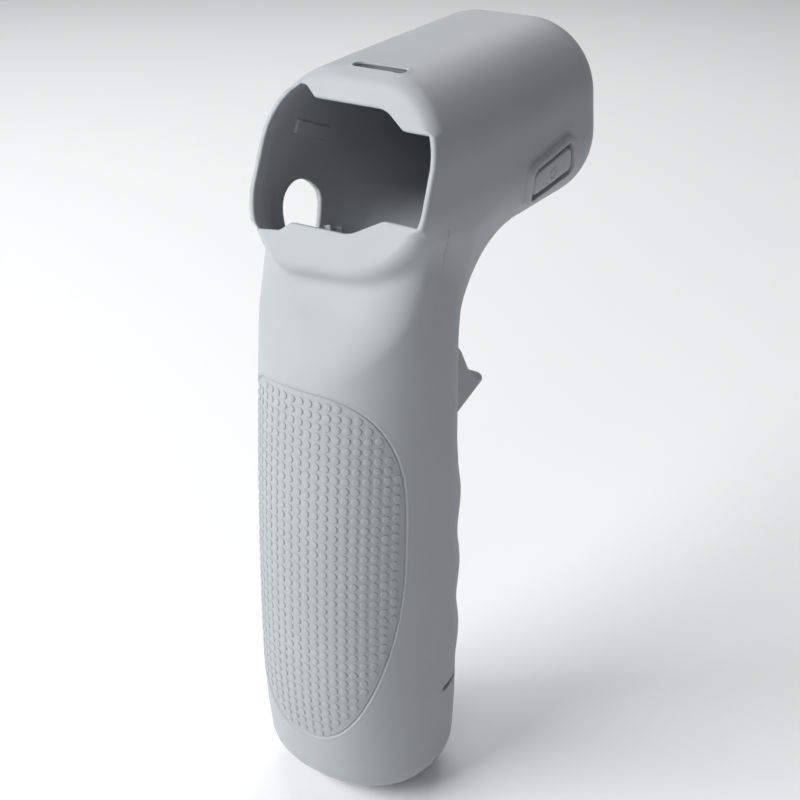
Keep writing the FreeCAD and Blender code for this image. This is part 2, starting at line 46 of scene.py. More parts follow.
# barrel
FACE_TILT = math.radians(20.0)
TOP_ROUNDING = 2.2
CHIN_ROUNDING = 2.4
SIDE_ROUNDING = 0.45
BARE_EDGE_LEFT = (-12.5, 13.0)
BARE_EDGE_RIGHT = (-7.5, 9.6)
BARE_EDGE_FADE = 1.5
BARREL_HALF_WIDTH = 21.3
BARREL_PINCH = 1.4
BARREL_PINCH_LENGTH = 6.0
BARREL_SLANT = 0.07
ROOF_HEIGHT = 16.4
ROOF_RISE = math.tan(math.radians(4.66))
FLOOR_DEPTH = 19.4
FLOOR_RISE = math.tan(math.radians(4.37))
ROOF_CORNER = 14.0
FLOOR_CORNER = 15.0
CHIN_RISE = 2.8
CHIN_TILT = 0.16
CHIN_CORNER = 16.0
CHIN_END = 2.0
CHIN_LENGTH = 14.0
NOSE_FORWARD = 61.9
NOSE_ROUNDING = 9.6

# handle
HANDLE_CENTRE = 5.0
HANDLE_POWER = 2.25
HANDLE_WIDEST = 19.6
HANDLE_WIDEST_DEPTH = 100.0
HANDLE_WAIST = 0.00007
SWELL_BACK = 16.2
SWELL_DEPTH = 98.0
SWELL_CURVE = 0.0009
HEEL_CURVE = 0.0042
TRIGGER_FRONT = 21.6
FINGER_STEP = 1.05
FINGER_HEIGHT = 0.85
FINGER_PITCH = 15.8
FINGER_FIRST = 67.1
NECK_FLARE = 2.4
TOE_DEPTH = 110.0
TOE_CURVE = 0.009
BASE_DROP = 132.0
BASE_ROUNDING = 9.0
CHIN_STEP = 2.6
CHIN_STEP_DEPTH = 38.0
CHIN_STEP_LENGTH = 16.0
NECK_BLEND_BACK = 2.5
NECK_BLEND_FRONT = 17.0
NECK_BLEND_ASIDE = 0.65

# trigger boot: side profile as (forward, up) corners, each with its own radius
TRIGGER_CORNERS = [(13.6, -37.4), (30.3, -41.6), (34.6, -49.3), (41.4, -52.8), (13.6, -65.2)]
TRIGGER_RADII = [0.0, 7.0, 5.5, 1.3, 0.0]
TRIGGER_HALF_WIDTH = 7.0
TRIGGER_ROUNDING = 1.8
TRIGGER_BLEND = 3.0

# face window: corners as (right, up the face), each with its own radius
WINDOW_CORNERS = [
    (-25.0, -14.3), (-11.3, -12.5), (-8.8, -10.6), (4.6, -10.4), (11.4, -6.7), (25.0, -6.7),
    (25.0, 9.1), (11.6, 9.1), (7.0, 12.3), (-9.0, 12.3), (-11.4, 14.3), (-25.0, 15.3),
]
WINDOW_RADII = [0.0, 2.0, 1.2, 6.5, 3.0, 0.0, 0.0, 1.8, 5.5, 1.0, 1.6, 0.0]
RIM_WALL = 1.15
RIM_DEPTH = 3.0
EDGE_ROUNDING = 0.4

# ports
DIAL_CENTRE = (11.5, -15.5)
DIAL_HALF_WIDTH = 6.1
DIAL_HALF_HEIGHT = 8.1
DIAL_LEAN = 0.42
DIAL_LEAN_START = -10.5
LIGHT_CENTRE = (1.6, 10.2)
LIGHT_HALF_LENGTH = 5.8
LIGHT_HALF_WIDTH = 1.5
LIGHT_RIM = 0.7
LIGHT_LIFT = 0.14
LIGHT_THINNING = 1.0
CHARGE_CENTRE = (0.0, 5.5)
CHARGE_HALF_LENGTH = 8.5
CHARGE_HALF_WIDTH = 4.5
CHARGE_LIP = 1.0
STRAP_CENTRE = (15.6, 12.4, -108.8)
STRAP_TURN = math.radians(60.0)
STRAP_HALF = (4.2, 6.0, 0.45)

# power key, in the wall's own frame: along the key, across it, and out of the wall
KEY_FORWARD = 38.6
KEY_UP = -5.0
KEY_TILT = math.radians(12.0)
KEY_FRAME_HALF = (9.0, 4.8)
KEY_FRAME_CORNER = 3.0
KEY_FRAME_LIFT = 1.0
KEY_BAND = 1.4
KEY_FLOOR = -0.85
KEY_PAD_HALF = (6.7, 2.6)
KEY_PAD_CORNER = 1.4
KEY_PAD_LIFT = 0.75
KEY_PAD_ROUNDING = 0.45
KEY_MARK_RADIUS = 1.15
KEY_MARK_LINE = 0.16
KEY_MARK_DEPTH = 0.22
KEY_REACH = (11.0, 6.8)
PLUNGER_RADIUS = 1.6
PLUNGER_LENGTH = 1.1

# palm panel and its dots
PANEL_HALF_WIDTH = 18.0
PANEL_TOP = 38.4
PANEL_BOTTOM = 115.0
PANEL_WIDEST = 70.0
PANEL_TOP_POWER = 3.5
PANEL_CORNER_POWER = 4.6
PANEL_HEEL_POWER = 2.5
PANEL_SINK = 0.2
PANEL_GROOVE = 0.5
PANEL_MARGIN = 0.9
DOT_PITCH = 2.03
DOT_RADIUS = 0.80
DOT_HEIGHT = 0.20
DOT_MARGIN = 1.0

# locating marks inside the left wall
PAD_CENTRE = (16.2, 1.6)
PAD_HALF = (5.75, 1.35)
PAD_TILT = math.radians(-20.0)
PAD_LIFT = 0.5
RIB_CENTRES = [(-16.3, 16.1, -20.1), (-15.5, 18.6, -21.0)]
RIB_HALF = (1.5, 0.26, 3.0)
RIB_LEAN = math.radians(-10.0)

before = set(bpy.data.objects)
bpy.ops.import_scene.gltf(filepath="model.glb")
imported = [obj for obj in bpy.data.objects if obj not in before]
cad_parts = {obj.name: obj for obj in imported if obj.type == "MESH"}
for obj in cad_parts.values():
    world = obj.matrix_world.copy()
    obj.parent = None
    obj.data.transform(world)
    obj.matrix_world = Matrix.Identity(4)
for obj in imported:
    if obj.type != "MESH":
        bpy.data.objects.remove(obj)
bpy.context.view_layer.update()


# ---------------------------------------------------------------- fields: building blocks


def smooth_step(value):
    """Rise from 0 to 1 as the value goes from 0 to 1, level at both ends."""
    t = np.clip(value, 0.0, 1.0)
    return t * t * (3.0 - 2.0 * t)


def smooth_max(a, b, radius):
    """Space inside both fields, with the edge between them rounded."""
    outside = np.hypot(np.maximum(a + radius, 0.0), np.maximum(b + radius, 0.0))
    return np.minimum(-radius, np.maximum(a, b)) + outside


def smooth_min(a, b, reach):
    """Space inside either field, with a fillet between them."""
    overlap = np.maximum(reach - np.abs(a - b), 0.0) / reach
    return np.minimum(a, b) - overlap * overlap * reach * 0.25


def rounded_rectangle(u, v, half_u, half_v, corner):
    """Signed distance to a rectangle with rounded corners, centred on zero."""
    over_u = np.abs(u) - (half_u - corner)
    over_v = np.abs(v) - (half_v - corner)
    outside = np.hypot(np.maximum(over_u, 0.0), np.maximum(over_v, 0.0))
    return outside + np.minimum(np.maximum(over_u, over_v), 0.0) - corner


def rounded_outline(corners, radii):
    """Closed line through the corners, each rounded by an arc of its own radius, as points."""
    corners = np.array(corners)
    points = []
    for index, corner in enumerate(corners):
        radius = radii[index]
        before = corners[index - 1] - corner
        after = corners[(index + 1) % len(corners)] - corner
        before = before / np.linalg.norm(before)
        after = after / np.linalg.norm(after)
        if radius == 0.0:
            points.append(corner)
            continue
        half = 0.5 * math.acos(np.clip(before @ after, -1.0, 1.0))
        bisector = (before + after) / np.linalg.norm(before + after)
        centre = corner + bisector * (radius / math.sin(half))
        start = corner + before * (radius / math.tan(half)) - centre
        turn = math.pi - 2.0 * half
        sign = np.sign(start[0] * -bisector[1] - start[1] * -bisector[0])
        for angle in np.linspace(0.0, turn, 7):
            c = math.cos(sign * angle)
            s = math.sin(sign * angle)
            points.append(centre + [start[0] * c - start[1] * s, start[0] * s + start[1] * c])
    return np.array(points)


def outline_distance(u, v, outline):
    """Signed distance to a closed outline in its own plane."""
    nearest = np.full(u.shape, 1e9)
    inside = np.zeros(u.shape, bool)
    for start, end in zip(outline, np.roll(outline, -1, axis=0)):
        edge = end - start
        du = u - start[0]
        dv = v - start[1]
        t = np.clip((du * edge[0] + dv * edge[1]) / (edge @ edge), 0.0, 1.0)
        nearest = np.minimum(nearest, (du - edge[0] * t) ** 2 + (dv - edge[1] * t) ** 2)
        crosses = (start[1] > v) != (end[1] > v)
        slope = edge[0] / edge[1] if edge[1] != 0.0 else 0.0
        inside ^= crosses & (u < start[0] + (v - start[1]) * slope)
    return np.where(inside, -1.0, 1.0) * np.sqrt(nearest)


def evaluated_where(mask, points, field, elsewhere):
    """Field values at the masked points only, and a set value elsewhere."""
    values = np.full(len(points), elsewhere)
    if mask.any():
        values[mask] = field(points[mask])
    return values


# ---------------------------------------------------------------- fields: the sleeve's outer form


def in_front_of_face(p):
    """Distance out of the face plane towards the user."""
    return p[:, 2] * math.sin(FACE_TILT) - p[:, 1] * math.cos(FACE_TILT)


def up_face(p):
    """Place up the plane of the face."""
    return p[:, 1] * math.sin(FACE_TILT) + p[:, 2] * math.cos(FACE_TILT)


def face_rounding(p):
    """Radius of the face's outer edge: soft at the roof and chin, small where the window bares the wall."""
    up = up_face(p)
    left = p[:, 0] < 0.0
    lowest = np.where(left, BARE_EDGE_LEFT[0], BARE_EDGE_RIGHT[0])
    highest = np.where(left, BARE_EDGE_LEFT[1], BARE_EDGE_RIGHT[1])
    bare = smooth_step((up - lowest) / BARE_EDGE_FADE + 0.5)
    bare *= smooth_step((highest - up) / BARE_EDGE_FADE + 0.5)
    bare *= smooth_step((np.abs(p[:, 0]) - 13.0) / 2.0)
    soft = np.where(up > 0.0, TOP_ROUNDING, CHIN_ROUNDING)
    return soft + (SIDE_ROUNDING - soft) * bare


def barrel_field(p):
    """Barrel without its face: a tapering rounded box, its floor raised and tilted at the chin."""
    x, y, z = p.T
    chin = smooth_step((CHIN_END - y) / CHIN_LENGTH)
    roof = ROOF_HEIGHT + ROOF_RISE * y
    floor = -FLOOR_DEPTH + FLOOR_RISE * y + (CHIN_RISE + CHIN_TILT * x) * chin
    up = z - (roof + floor) / 2
    pinch = 2.0 * BARREL_PINCH / (1.0 + np.exp(y / BARREL_PINCH_LENGTH))
    width = BARREL_HALF_WIDTH - pinch - BARREL_SLANT * z
    corner = np.where(up < 0.0, FLOOR_CORNER + (CHIN_CORNER - FLOOR_CORNER) * chin, ROOF_CORNER)
    section = rounded_rectangle(x, up, width, (roof - floor) / 2, corner)
    return smooth_max(section, y - NOSE_FORWARD, NOSE_ROUNDING)


def handle_front(down):
    """Front of the handle: flat at the trigger, three finger bumps, a flare under the barrel."""
    flare = NECK_FLARE * smooth_step((34.0 - down) / 14.0)
    step = FINGER_STEP * smooth_step((down - 53.0) / 9.0)
    phase = (down - FINGER_FIRST) / FINGER_PITCH
    on_bumps = (phase > -0.5) & (phase < 2.5)
    bumps = np.where(on_bumps, FINGER_HEIGHT * (1.0 + np.cos(2.0 * np.pi * phase)), 0.0)
    taper = TOE_CURVE * np.maximum(down - TOE_DEPTH, 0.0) ** 2
    return TRIGGER_FRONT + flare + step + bumps - taper


def handle_back(down):
    """Palm side of the handle, which swells towards the heel of the hand."""
    curve = np.where(down < SWELL_DEPTH, SWELL_CURVE, HEEL_CURVE)
    return -SWELL_BACK + curve * (down - SWELL_DEPTH) ** 2


def handle_half_width(down):
    return HANDLE_WIDEST - HANDLE_WAIST * (down - HANDLE_WIDEST_DEPTH) ** 2


def handle_field(p):
    x, y, z = p.T
    down = np.clip(-z, 0.0, BASE_DROP)
    half = handle_half_width(down)
    along = y - HANDLE_CENTRE
    depth = np.where(along > 0.0, handle_front(down) - HANDLE_CENTRE, HANDLE_CENTRE - handle_back(down))
    shape = (np.abs(x / half) ** HANDLE_POWER + np.abs(along / depth) ** HANDLE_POWER) ** (1.0 / HANDLE_POWER)
    d = (shape - 1.0) * np.minimum(half, depth) * 0.95
    d = smooth_max(d, -BASE_DROP - z, BASE_ROUNDING)
    d = smooth_max(d, z + 8.0, 2.0)
    fade = smooth_step((z + CHIN_STEP_DEPTH) / CHIN_STEP_LENGTH)
    return smooth_max(d, in_front_of_face(p) + CHIN_STEP * (2.0 * fade - 1.0), 4.0)


trigger_outline = rounded_outline(TRIGGER_CORNERS, TRIGGER_RADII)


def trigger_field(p):
    profile = outline_distance(p[:, 1], p[:, 2], trigger_outline)
    return smooth_max(profile, np.abs(p[:, 0]) - TRIGGER_HALF_WIDTH, TRIGGER_ROUNDING)


def near_trigger(p):
    return (np.abs(p[:, 0]) < 14.0) & (p[:, 1] > 10.0) & (p[:, 2] > -72.0) & (p[:, 2] < -30.0)


def form_field(p, face_closed):
    """Outer form without its small details; with the face open, the barrel runs on past the face."""
    barrel = barrel_field(p)
    if face_closed:
        barrel = smooth_max(barrel, in_front_of_face(p), face_rounding(p))
    forward = np.clip((p[:, 1] - HANDLE_CENTRE + 5.0) / 15.0, 0.0, 1.0)
    aside = smooth_step((np.abs(p[:, 0]) - 13.0) / 7.0)
    reach = NECK_BLEND_BACK + (NECK_BLEND_FRONT - NECK_BLEND_BACK) * forward
    reach = reach * (1.0 - NECK_BLEND_ASIDE * aside)
    form = smooth_min(barrel, handle_field(p), reach)
    trigger = evaluated_where(near_trigger(p), p, trigger_field, 50.0)
    return smooth_min(form, trigger, TRIGGER_BLEND)


def open_form(p):
    return form_field(p, False)


def closed_form(p):
    return form_field(p, True)


# ---------------------------------------------------------------- moving points onto a surface


def gradient(field, points):
    """Slope of a field at each point."""
    step = 0.02
    slopes = np.empty_like(points)
    for axis in range(3):
        offset = np.zeros(3)
        offset[axis] = step
        slopes[:, axis] = (field(points + offset) - field(points - offset)) / (2.0 * step)
    return slopes


def unit(vectors):
    return vectors / np.maximum(np.linalg.norm(vectors, axis=-1, keepdims=True), 1e-9)


def settled(field, points, rounds=3, furthest=0.25):
    """Points moved along the slope of a field onto its zero surface."""
    points = points.copy()
    for _ in range(rounds):
        slopes = gradient(field, points)
        move = -field(points)[:, None] * slopes / np.maximum((slopes ** 2).sum(1), 0.05)[:, None]
        length = np.linalg.norm(move, axis=1, keepdims=True)
        points += move * np.minimum(1.0, furthest / np.maximum(length, 1e-9))
    return points


# ---------------------------------------------------------------- fields: details on the form

key_start = np.array([[BARREL_HALF_WIDTH, KEY_FORWARD, KEY_UP]])
key_centre = settled(closed_form, key_start, rounds=12)[0]
key_out = unit(gradient(closed_form, key_centre[None]))[0]
key_along = np.array([0.0, math.cos(KEY_TILT), math.sin(KEY_TILT)])
key_along = unit(key_along - key_out * (key_along @ key_out))
key_across = np.cross(key_out, key_along)


def key_coordinates(p):
    """Place along and across the power key."""
    return (p - key_centre) @ key_along, (p - key_centre) @ key_across


def key_height(p):
    """How far the wall stands out at the power key: a rounded frame with a moat inside it."""
    along, across = key_coordinates(p)
    outer = rounded_rectangle(along, across, KEY_FRAME_HALF[0], KEY_FRAME_HALF[1], KEY_FRAME_CORNER)
    inner = outer + KEY_BAND
    to_top = 1.0 - np.clip(-outer / 0.8, 0.0, 1.0)
    frame_rise = KEY_FRAME_LIFT * np.sqrt(np.clip(1.0 - to_top ** 2, 0.0, 1.0))
    foot = 0.12 * smooth_step(1.0 - outer / 0.8) * (outer > 0.0) + 0.12 * (outer <= 0.0)
    moat = (KEY_FRAME_LIFT - KEY_FLOOR) * smooth_step((0.05 - inner) / 0.4)
    return np.maximum(frame_rise, foot) - moat


def near_key(p):
    along, across = key_coordinates(p)
    return (p[:, 0] > 12.0) & (np.abs(along) < KEY_REACH[0]) & (np.abs(across) < KEY_REACH[1])


def stadium(u, v, half_u, half_v):
    return rounded_rectangle(u, v, half_u, half_v, min(half_u, half_v))


def light_slot_distance(p):
    return stadium(p[:, 0] - LIGHT_CENTRE[0], p[:, 1] - LIGHT_CENTRE[1], LIGHT_HALF_LENGTH, LIGHT_HALF_WIDTH)


def light_height(p):
    """Soft lip round the status light slot."""
    return LIGHT_LIFT * smooth_step((LIGHT_RIM + 0.5 - light_slot_distance(p)) / 1.1)


def light_thinning(p):
    """How much thinner the roof is round the status light slot."""
    return LIGHT_THINNING * smooth_step((1.6 - light_slot_distance(p)) / 0.8)


def near_light(p):
    return (p[:, 2] > 8.0) & (p[:, 1] < 16.0) & (p[:, 1] > 5.0) & (np.abs(p[:, 0] - LIGHT_CENTRE[0]) < 9.0)


def locating_pad_height(p):
    """Low raised rectangle on the inside of the left wall."""
    forward = p[:, 1] - PAD_CENTRE[0]
    up = p[:, 2] - PAD_CENTRE[1]
    along = forward * math.cos(PAD_TILT) + up * math.sin(PAD_TILT)
    across = up * math.cos(PAD_TILT) - forward * math.sin(PAD_TILT)
    edge = rounded_rectangle(along, across, PAD_HALF[0], PAD_HALF[1], 0.3)
    return PAD_LIFT * smooth_step(0.5 - edge / 0.35)


def near_locating_pad(p):
    return (p[:, 0] < -14.0) & (p[:, 1] > 10.0) & (p[:, 1] < 26.0) & (np.abs(p[:, 2] - PAD_CENTRE[1]) < 6.0)


def charge_port_distance(p):
    right = p[:, 0] - CHARGE_CENTRE[0]
    forward = p[:, 1] - CHARGE_CENTRE[1]
    return stadium(right, forward, CHARGE_HALF_LENGTH, CHARGE_HALF_WIDTH)


def charge_lip_height(p):
    return CHARGE_LIP * smooth_step((CHARGE_LIP + 0.4 - charge_port_distance(p)) / 0.6)


def outer_field(p):
    """Outside of the sleeve with the key frame and the light slot's lip."""
    d = closed_form(p)
    d = d - evaluated_where(near_key(p), p, key_height, 0.0)
    return d - evaluated_where(near_light(p), p, light_height, 0.0)


def cavity_field(p):
    """Space for the controller, up to the back of the face lips; the roof is thin round the light slot."""
    d = open_form(p) + WALL
    d = d - evaluated_where(near_light(p), p, light_thinning, 0.0)
    d = d + evaluated_where(near_locating_pad(p), p, locating_pad_height, 0.0)
    d = d + evaluated_where(p[:, 2] < -BASE_DROP + 6.0, p, charge_lip_height, 0.0)
    return smooth_max(d, in_front_of_face(p) + WALL, 0.8)


window_outline = rounded_outline(WINDOW_CORNERS, WINDOW_RADII)


def window_field(p):
    """Opening between the face lips; where it runs past the cavity, the bare wall edge is left."""
    opening = outline_distance(p[:, 0], up_face(p), window_outline)
    thinning = (WALL - RIM_WALL) * smooth_step(1.0 + in_front_of_face(p) / RIM_DEPTH)
    return np.maximum(opening, open_form(p) + WALL - thinning)


def near_window(p):
    return (in_front_of_face(p) > -RIM_DEPTH - 0.5) & (p[:, 1] < 14.0)


def rib_field(p):
    """Two short upright ribs inside the left wall."""
    d = np.full(len(p), 50.0)
    for centre in RIB_CENTRES:
        q = p - np.array(centre)
        u = q[:, 0] * math.cos(RIB_LEAN) - q[:, 2] * math.sin(RIB_LEAN)
        w = q[:, 0] * math.sin(RIB_LEAN) + q[:, 2] * math.cos(RIB_LEAN)
        side = rounded_rectangle(u, q[:, 1], RIB_HALF[0], RIB_HALF[1], 0.3)
        d = np.minimum(d, smooth_max(side, np.abs(w) - RIB_HALF[2], 0.3))
    return np.maximum(d, open_form(p) + WALL / 2)


def near_ribs(p):
    return (p[:, 0] < -11.0) & (p[:, 0] > -20.0) & (p[:, 1] > 15.0) & (p[:, 1] < 23.0) & (p[:, 2] < -14.0)


def dial_port_field(p):
    """Upright port with a round top; its front edge leans back as the wall turns under."""
    port = stadium(p[:, 1] - DIAL_CENTRE[0], p[:, 2] - DIAL_CENTRE[1], DIAL_HALF_WIDTH, DIAL_HALF_HEIGHT)
    below = np.maximum(DIAL_LEAN_START - p[:, 2], 0.0)
    front = p[:, 1] - (DIAL_CENTRE[0] + DIAL_HALF_WIDTH - DIAL_LEAN * below)
    return smooth_max(port, front, 1.0)


def strap_slit_field(p):
    q = p - np.array(STRAP_CENTRE)
    u = q[:, 0] * math.cos(STRAP_TURN) + q[:, 1] * math.sin(STRAP_TURN)
    v = q[:, 1] * math.cos(STRAP_TURN) - q[:, 0] * math.sin(STRAP_TURN)
    slot = rounded_rectangle(u, q[:, 2], STRAP_HALF[0], STRAP_HALF[2], STRAP_HALF[2])
    return np.maximum(slot, np.abs(v) - STRAP_HALF[1])


def sleeve_field(p):
    """The silicone itself: outer form, less the cavity, the face window and the ports."""
    window = evaluated_where(near_window(p), p, window_field, 50.0)
    d = smooth_max(outer_field(p), -np.minimum(cavity_field(p), window), EDGE_ROUNDING)
    d = np.minimum(d, evaluated_where(near_ribs(p), p, rib_field, 50.0))
    left = (p[:, 0] < -8.0) & (p[:, 1] < 25.0) & (p[:, 2] > -30.0)
    d = smooth_max(d, -evaluated_where(left, p, dial_port_field, 50.0), EDGE_ROUNDING)
    d = smooth_max(d, -evaluated_where(near_light(p), p, light_slot_distance, 50.0), 0.2)
    bottom = p[:, 2] < -BASE_DROP + 6.0
    d = smooth_max(d, -evaluated_where(bottom, p, charge_port_distance, 50.0), EDGE_ROUNDING)
    strap = (p[:, 2] < -104.0) & (p[:, 2] > -114.0) & (p[:, 0] > 8.0)
    return smooth_max(d, -evaluated_where(strap, p, strap_slit_field, 50.0), 0.25)


# ---------------------------------------------------------------- meshes from fields


def polygonised(field, low, high, step):
    """Triangles of a field's zero surface inside a box, a little past its sides."""
    low = np.array(low, float) - 2.0 * step
    counts = np.ceil((np.array(high, float) - low) / step).astype(int) + 3
    axes = [low[i] + step * np.arange(counts[i]) for i in range(3)]
    points = np.stack(np.meshgrid(*axes, indexing="ij"), axis=-1).reshape(-1, 3)
    values = np.concatenate([field(part) for part in np.array_split(points, 1 + len(points) // 400000)])
    grid = openvdb.FloatGrid(50.0)
    grid.copyFromArray(values.reshape(counts).astype(np.float32))
    vertices, quads = grid.convertToQuads(isovalue=0.0)
    vertices = low + step * np.asarray(vertices, float)
    quads = np.asarray(quads, int)
    triangles = np.concatenate([quads[:, [0, 1, 2]], quads[:, [0, 2, 3]]])
    return settled(field, vertices, furthest=step), facing_out(field, vertices, triangles)


def facing_out(field, vertices, triangles):
    """Triangles wound so that most face along the field's slope."""
    sample = triangles[:: max(1, len(triangles) // 500)]
    a, b, c = (vertices[sample[:, i]] for i in range(3))
    outward = (np.cross(b - a, c - a) * gradient(field, (a + b + c) / 3)).sum(1)
    return triangles if np.sign(outward).sum() > 0 else triangles[:, ::-1]


def clipped(mesh, values):
    """Part of a mesh where the values are below zero, with crossing triangles cut along zero."""
    vertices, triangles = mesh
    inside = values < 0.0
    count = inside[triangles].sum(1)
    whole = triangles[count == 3]
    one = turned_to_first(triangles[count == 1], inside)
    two = turned_to_first(triangles[count == 2], ~inside)
    pairs = np.concatenate([one[:, [0, 1]], one[:, [0, 2]], two[:, [0, 1]], two[:, [0, 2]]])
    keys, where = np.unique(np.sort(pairs, axis=1), axis=0, return_inverse=True)
    where = where.reshape(-1)
    a = values[keys[:, 0]]
    share = (a / (a - values[keys[:, 1]]))[:, None]
    added = vertices[keys[:, 0]] * (1.0 - share) + vertices[keys[:, 1]] * share
    new = where + len(vertices)
    n1 = len(one)
    n2 = len(two)
    first_one, second_one = new[:n1], new[n1:2 * n1]
    first_two, second_two = new[2 * n1:2 * n1 + n2], new[2 * n1 + n2:]
    parts = [
        whole,
        np.stack([one[:, 0], first_one, second_one], axis=1),
        np.stack([first_two, two[:, 1], two[:, 2]], axis=1),
        np.stack([first_two, two[:, 2], second_two], axis=1),
    ]
    return compacted(np.concatenate([vertices, added]), np.concatenate(parts))


def turned_to_first(triangles, chosen):
    """Triangles turned, keeping their winding, so that the one chosen vertex comes first."""
    place = np.argmax(chosen[triangles], axis=1)
    order = (place[:, None] + np.arange(3)) % 3
    return np.take_along_axis(triangles, order, axis=1)


def compacted(vertices, triangles):
    """Mesh without unused vertices."""
    used, where = np.unique(triangles, return_inverse=True)
    return vertices[used], where.reshape(-1, 3)


def box_values(points, low, high):
    """Below zero inside a box."""
    middle = (np.array(low) + np.array(high)) / 2
    half = (np.array(high) - np.array(low)) / 2
    return (np.abs(points - middle) - half).max(1)


def region(field, low, high, step, *cuts):
    """Surface of a field inside a box and below zero in each cut, its vertices back on the surface."""
    mesh = polygonised(field, low, high, step)
    for cut in (lambda q: box_values(q, low, high), *cuts):
        mesh = clipped(mesh, cut(mesh[0]))
    return settled(field, mesh[0], rounds=1), mesh[1]


def new_piece(name, mesh, material, normals=None):
    """Blender object from a mesh in work-frame millimetres, smooth shaded."""
    vertices, triangles = mesh
    data = bpy.data.meshes.new(name)
    placed = (vertices + ROW_SHIFT) * MM
    data.from_pydata(placed.tolist(), [], triangles.tolist())
    data.polygons.foreach_set("use_smooth", np.ones(len(triangles), bool))
    data.materials.append(material)
    if normals is not None:
        data.normals_split_custom_set_from_vertices(normals.tolist())
    data.validate()
    piece = bpy.data.objects.new(name, data)
    bpy.context.scene.collection.objects.link(piece)
    return piece


def skin_piece(name, field, mesh, material):
    return new_piece(name, mesh, material, unit(gradient(field, mesh[0])))


# ---------------------------------------------------------------- materials


def silicone(name, colour, grain):
    """Matte moulded silicone: faint cloudy colour, uneven roughness, a fine mould texture, soft sheen."""
    material = bpy.data.materials.new(name)
    material.use_nodes = True
    nodes = material.node_tree.nodes
    links = material.node_tree.links
    shader = nodes["Principled BSDF"]
    shader.inputs["Specular IOR Level"].default_value = 0.38
    shader.inputs["Sheen Weight"].default_value = 0.12
    shader.inputs["Sheen Roughness"].default_value = 0.45
    place = nodes.new("ShaderNodeTexCoord")
    cloud = noise(nodes, links, place, 45.0, 3.0)
    tint = nodes.new("ShaderNodeValToRGB")
    tint.color_ramp.elements[0].position = 0.30
    tint.color_ramp.elements[1].position = 0.72
    tint.color_ramp.elements[0].color = [c * 0.965 for c in colour] + [1.0]
    tint.color_ramp.elements[1].color = [c * 1.02 for c in colour] + [1.0]
    links.new(cloud.outputs["Fac"], tint.inputs["Fac"])
    links.new(tint.outputs["Color"], shader.inputs["Base Color"])
    patch = noise(nodes, links, place, 260.0, 4.0)
    gloss = nodes.new("ShaderNodeMapRange")
    gloss.inputs["To Min"].default_value = 0.50
    gloss.inputs["To Max"].default_value = 0.62
    links.new(patch.outputs["Fac"], gloss.inputs["Value"])
    links.new(gloss.outputs["Result"], shader.inputs["Roughness"])
    texture = noise(nodes, links, place, grain, 5.0)
    bump = nodes.new("ShaderNodeBump")
    bump.inputs["Strength"].default_value = 0.35
    bump.inputs["Distance"].default_value = 0.00004
    links.new(texture.outputs["Fac"], bump.inputs["Height"])
    links.new(bump.outputs["Normal"], shader.inputs["Normal"])
    return material


def noise(nodes, links, place, scale, detail):
    texture = nodes.new("ShaderNodeTexNoise")
    texture.inputs["Scale"].default_value = scale
    texture.inputs["Detail"].default_value = detail
    links.new(place.outputs["Object"], texture.inputs["Vector"])
    return texture


skin_silicone = silicone("skin_silicone", (0.36, 0.385, 0.40), 2600.0)
grip_silicone = silicone("grip_silicone", (0.345, 0.37, 0.385), 3200.0)

# ---------------------------------------------------------------- palm panel outline on the surface


def panel_outline():
    """Points round the palm panel on the sleeve's surface, with the surface's normal and the way out."""
    turn = np.linspace(0.0, 2.0 * np.pi, 520, endpoint=False)
    crown = np.sin(turn) > 0.0
    crown_power = np.where(np.cos(turn) < 0.0, PANEL_CORNER_POWER, PANEL_TOP_POWER)
    power = np.where(crown, crown_power, PANEL_HEEL_POWER)
    reach = np.where(crown, PANEL_WIDEST - PANEL_TOP, PANEL_BOTTOM - PANEL_WIDEST)
    x = PANEL_HALF_WIDTH * np.sign(np.cos(turn)) * np.abs(np.cos(turn)) ** (2.0 / power)
    z = -PANEL_WIDEST + reach * np.sign(np.sin(turn)) * np.abs(np.sin(turn)) ** (2.0 / power)
    points = evenly_spaced(palm_points(x, z))
    points = settled(closed_form, points, rounds=4)
    out = unit(gradient(closed_form, points))
    tangent = unit(np.roll(points, -1, axis=0) - np.roll(points, 1, axis=0))
    away = unit(np.cross(tangent, out))
    return points, out, away


def palm_points(x, z):
    """Points on the palm side of the handle at given places across and up."""
    half = handle_half_width(-z)
    depth = HANDLE_CENTRE - handle_back(-z)
    share = np.clip(1.0 - np.abs(x / half) ** HANDLE_POWER, 0.0, 1.0) ** (1.0 / HANDLE_POWER)
    return np.stack([x, HANDLE_CENTRE - depth * share, z], axis=1)


def evenly_spaced(points):
    """Closed line with its points spread evenly along it."""
    closed = np.concatenate([points, points[:1]])
    length = np.concatenate([[0.0], np.cumsum(np.linalg.norm(np.diff(closed, axis=0), axis=1))])
    place = np.linspace(0.0, length[-1], len(points), endpoint=False)
    return np.stack([np.interp(place, length, closed[:, axis]) for axis in range(3)], axis=1)


panel_points, panel_out, panel_away = panel_outline()


def past_panel_edge(p):
    """Distance outside the palm panel's edge, along the surface; large away from the panel's side."""
    low, high = (-22.0, -24.0, -120.0), (22.0, 8.0, -34.0)
    near = box_values(p, low, high) < 0.0
    near &= closed_form(p) > -0.8
    return evaluated_where(near, p, panel_edge_distance, 50.0)


def panel_edge_distance(p):
    distance = np.empty(len(p))
    for part in np.array_split(np.arange(len(p)), 1 + len(p) // 4000):
        gap = ((p[part][:, None, :] - panel_points[None]) ** 2).sum(-1)
        nearest = gap.argmin(1)
        distance[part] = ((p[part] - panel_points[nearest]) * panel_away[nearest]).sum(1)
    return distance


def outside_panel(p):
    return PANEL_MARGIN - past_panel_edge(p)


def inside_panel(p):
    return past_panel_edge(p) + PANEL_MARGIN


# ---------------------------------------------------------------- main skin

